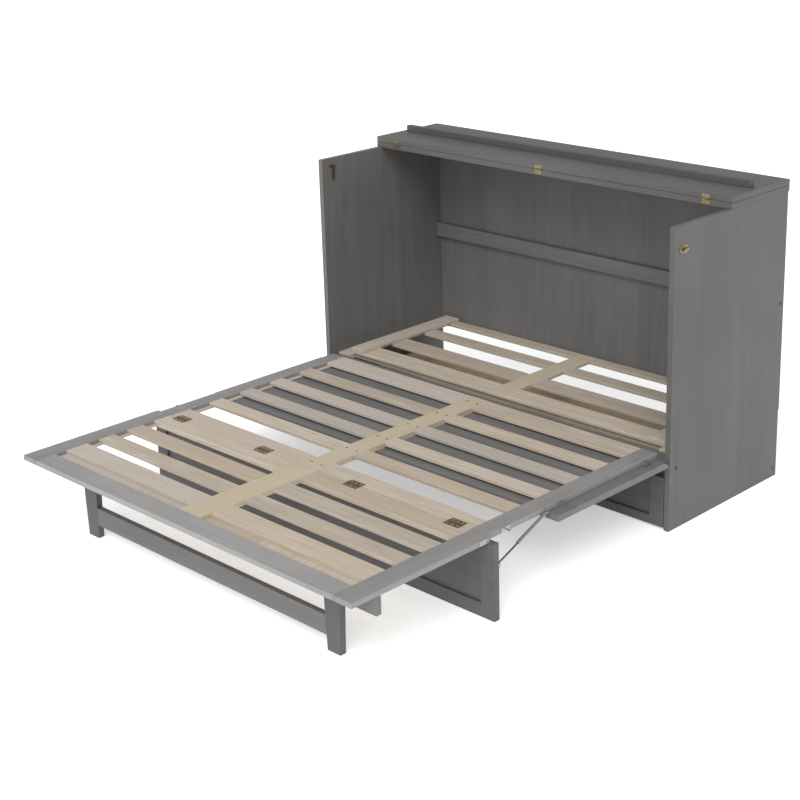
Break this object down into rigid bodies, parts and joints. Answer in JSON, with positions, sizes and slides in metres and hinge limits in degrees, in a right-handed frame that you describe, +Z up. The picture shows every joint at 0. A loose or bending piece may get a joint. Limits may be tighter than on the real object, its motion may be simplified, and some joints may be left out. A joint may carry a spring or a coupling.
{
  "type": "cabinet wall bed",
  "caption": "Low cabinet bed, shown open: a hinged three-section slatted platform folds up into a grey wooden cupboard with a flip-back lid, flap leg, gas struts and a base drawer.",
  "frame": {"origin": "on the floor, under the middle of the open bed's length and width", "axes": "+Z up, +Y from the foot of the bed to the back of the cabinet, X across the bed"},
  "size_m": [1.6706, 2.045, 1.1],
  "materials": {
    "grey_wood": "grey stain, satin",
    "pale_wood": "natural, unfinished",
    "box_wood": "brown plywood",
    "brass": "satin",
    "zinc_steel": "zinc plated",
    "strut_steel": "bright",
    "rod_chrome": "dark polished"
  },
  "bodies": {
    "cabinet": {"left_side_panel": "grey_wood", "right_side_panel": "grey_wood", "back_panel": "grey_wood", "rear_top": "grey_wood", "back_rail": "grey_wood", "rear_bottom_rail": "grey_wood", "front_rail": "box_wood", "head_cleats": "box_wood", "head_center_plank": "pale_wood", "head_slats": "pale_wood", "head_side_rails": "pale_wood", "side_bolts": "zinc_steel", "lid_hinges_fixed": "brass", "bed_hinge_brackets": "zinc_steel", "drawer_runners_fixed": "zinc_steel", "latch_plates": "brass"},
    "drawer": {"drawer_front_frame": "grey_wood", "drawer_front_panel": "grey_wood", "drawer_sides": "box_wood", "drawer_back": "box_wood", "drawer_bottom": "box_wood", "drawer_runners": "zinc_steel"},
    "lid": {"front_lid": "grey_wood", "lid_batten": "grey_wood", "lid_hinge_leaves": "brass"},
    "middle": {"mid_side_rails": "grey_wood", "mid_ledgers": "pale_wood", "mid_center_plank": "pale_wood", "mid_slats": "pale_wood", "mid_front_slats": "pale_wood", "door_frame": "grey_wood", "door_panel": "grey_wood", "bed_hinge_leaves": "zinc_steel", "foot_hinges_mid": "brass", "flap_hinges_mid": "zinc_steel", "strut_upper_studs": "zinc_steel", "strike_plates": "zinc_steel", "rail_brackets": "zinc_steel"},
    "foot": {"foot_side_rails": "grey_wood", "foot_end_board": "grey_wood", "foot_center_plank": "pale_wood", "foot_slats": "pale_wood", "foot_ledgers": "pale_wood", "foot_cross_rail": "grey_wood", "foot_hinge_leaves": "brass", "leg_hinges_foot": "zinc_steel", "foot_side_plates": "zinc_steel"},
    "leg_frame": {"legs": "grey_wood", "leg_stretcher": "grey_wood", "leg_hinge_leaves": "zinc_steel"},
    "flap": {"flap_frame": "grey_wood", "flap_panel": "grey_wood", "flap_hinge_leaves": "zinc_steel", "strut_lower_brackets": "zinc_steel"},
    "left_barrel": {"left_strut_barrel": "strut_steel"},
    "right_barrel": {"right_strut_barrel": "strut_steel"},
    "left_rod": {"left_strut_rod": "rod_chrome"},
    "right_rod": {"right_strut_rod": "rod_chrome"},
    "left_latch": {"latch_turn_left": "brass"},
    "right_latch": {"latch_turn_right": "brass"}
  },
  "joints": [
    {"name": "drawer_slide", "type": "slide", "parent": "cabinet", "child": "drawer", "axis": [0, -1, 0], "range_m": [0, 0.38]},
    {"name": "lid_hinge", "type": "hinge", "parent": "cabinet", "child": "lid", "pos_m": [0, 0.6835, 1.0545], "axis": [1, 0, 0], "range_deg": [0, 180]},
    {"name": "middle_fold", "type": "hinge", "parent": "cabinet", "child": "middle", "pos_m": [0, 0.3395, 0.221], "axis": [-1, 0, 0], "range_deg": [0, 90]},
    {"name": "foot_fold", "type": "hinge", "parent": "middle", "child": "foot", "pos_m": [0, -0.4665, 0.2745], "axis": [-1, 0, 0], "range_deg": [0, 180]},
    {"name": "leg_fold", "type": "hinge", "parent": "foot", "child": "leg_frame", "pos_m": [0, -0.8875, 0.253], "axis": [1, 0, 0], "range_deg": [0, 90]},
    {"name": "flap_fold", "type": "hinge", "parent": "middle", "child": "flap", "pos_m": [0, -0.4475, 0.252], "axis": [1, 0, 0], "range_deg": [0, 90]},
    {"name": "left_strut_swing", "type": "hinge", "parent": "middle", "child": "left_barrel", "pos_m": [-0.79, -0.2025, 0.2595], "axis": [-1, 0, 0], "range_deg": [0, 25.29]},
    {"name": "left_strut_stroke", "type": "slide", "parent": "left_barrel", "child": "left_rod", "axis": [0, 0.9281, 0.3724], "range_m": [0, 0.0846]},
    {"name": "right_strut_swing", "type": "hinge", "parent": "middle", "child": "right_barrel", "pos_m": [0.79, -0.2025, 0.2595], "axis": [-1, 0, 0], "range_deg": [0, 25.29]},
    {"name": "right_strut_stroke", "type": "slide", "parent": "right_barrel", "child": "right_rod", "axis": [0, 0.9281, 0.3724], "range_m": [0, 0.0846]},
    {"name": "left_latch_turn", "type": "hinge", "parent": "cabinet", "child": "left_latch", "pos_m": [-0.827, 0.4245, 0.957], "axis": [1, 0, 0], "range_deg": [0, 90]},
    {"name": "right_latch_turn", "type": "hinge", "parent": "cabinet", "child": "right_latch", "pos_m": [0.827, 0.4245, 0.957], "axis": [1, 0, 0], "range_deg": [0, 90]}
  ],
  "couplings": [
    {"joint": "left_strut_swing", "follows": "flap_fold", "ratio": 0.28048},
    {"joint": "left_strut_stroke", "follows": "flap_fold", "m_per_rad": 0.053728},
    {"joint": "right_strut_swing", "follows": "flap_fold", "ratio": 0.28048},
    {"joint": "right_strut_stroke", "follows": "flap_fold", "m_per_rad": 0.053728}
  ]
}
